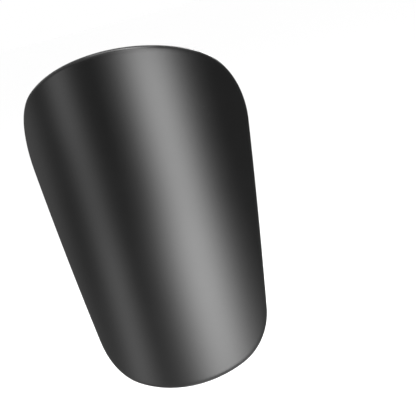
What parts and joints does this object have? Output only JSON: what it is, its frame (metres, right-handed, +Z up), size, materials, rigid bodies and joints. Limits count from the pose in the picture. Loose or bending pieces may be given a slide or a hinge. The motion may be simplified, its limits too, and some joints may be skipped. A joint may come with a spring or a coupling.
{
  "type": "shin guard",
  "caption": "Curved slip-in shin guard: a smooth moulded plate, wider at the top, with a fabric-faced foam pad bonded inside. Worn in a sock to shield the shin.",
  "frame": {"origin": "middle of the inner face that lies on the shin, on the centre line at half the guard's length", "axes": "+Z up the shin to the wide end, +Y out of the inner face towards the leg, +X across the guard"},
  "size_m": [0.0804, 0.0242, 0.12],
  "materials": {
    "shell_plastic": "smooth semi-gloss black moulded polypropylene",
    "bonding_tape": "thin black double-sided tape",
    "foam": "die-cut dark grey closed-cell EVA foam",
    "hot_melt_film": "thin hot-melt film",
    "lining": "brushed black knit, matt"
  },
  "bodies": {
    "root": {"outer_shell": "shell_plastic", "shell_tape": "bonding_tape", "foam_pad": "foam", "laminating_film": "hot_melt_film", "lining_fabric": "lining"}
  },
  "joints": []
}
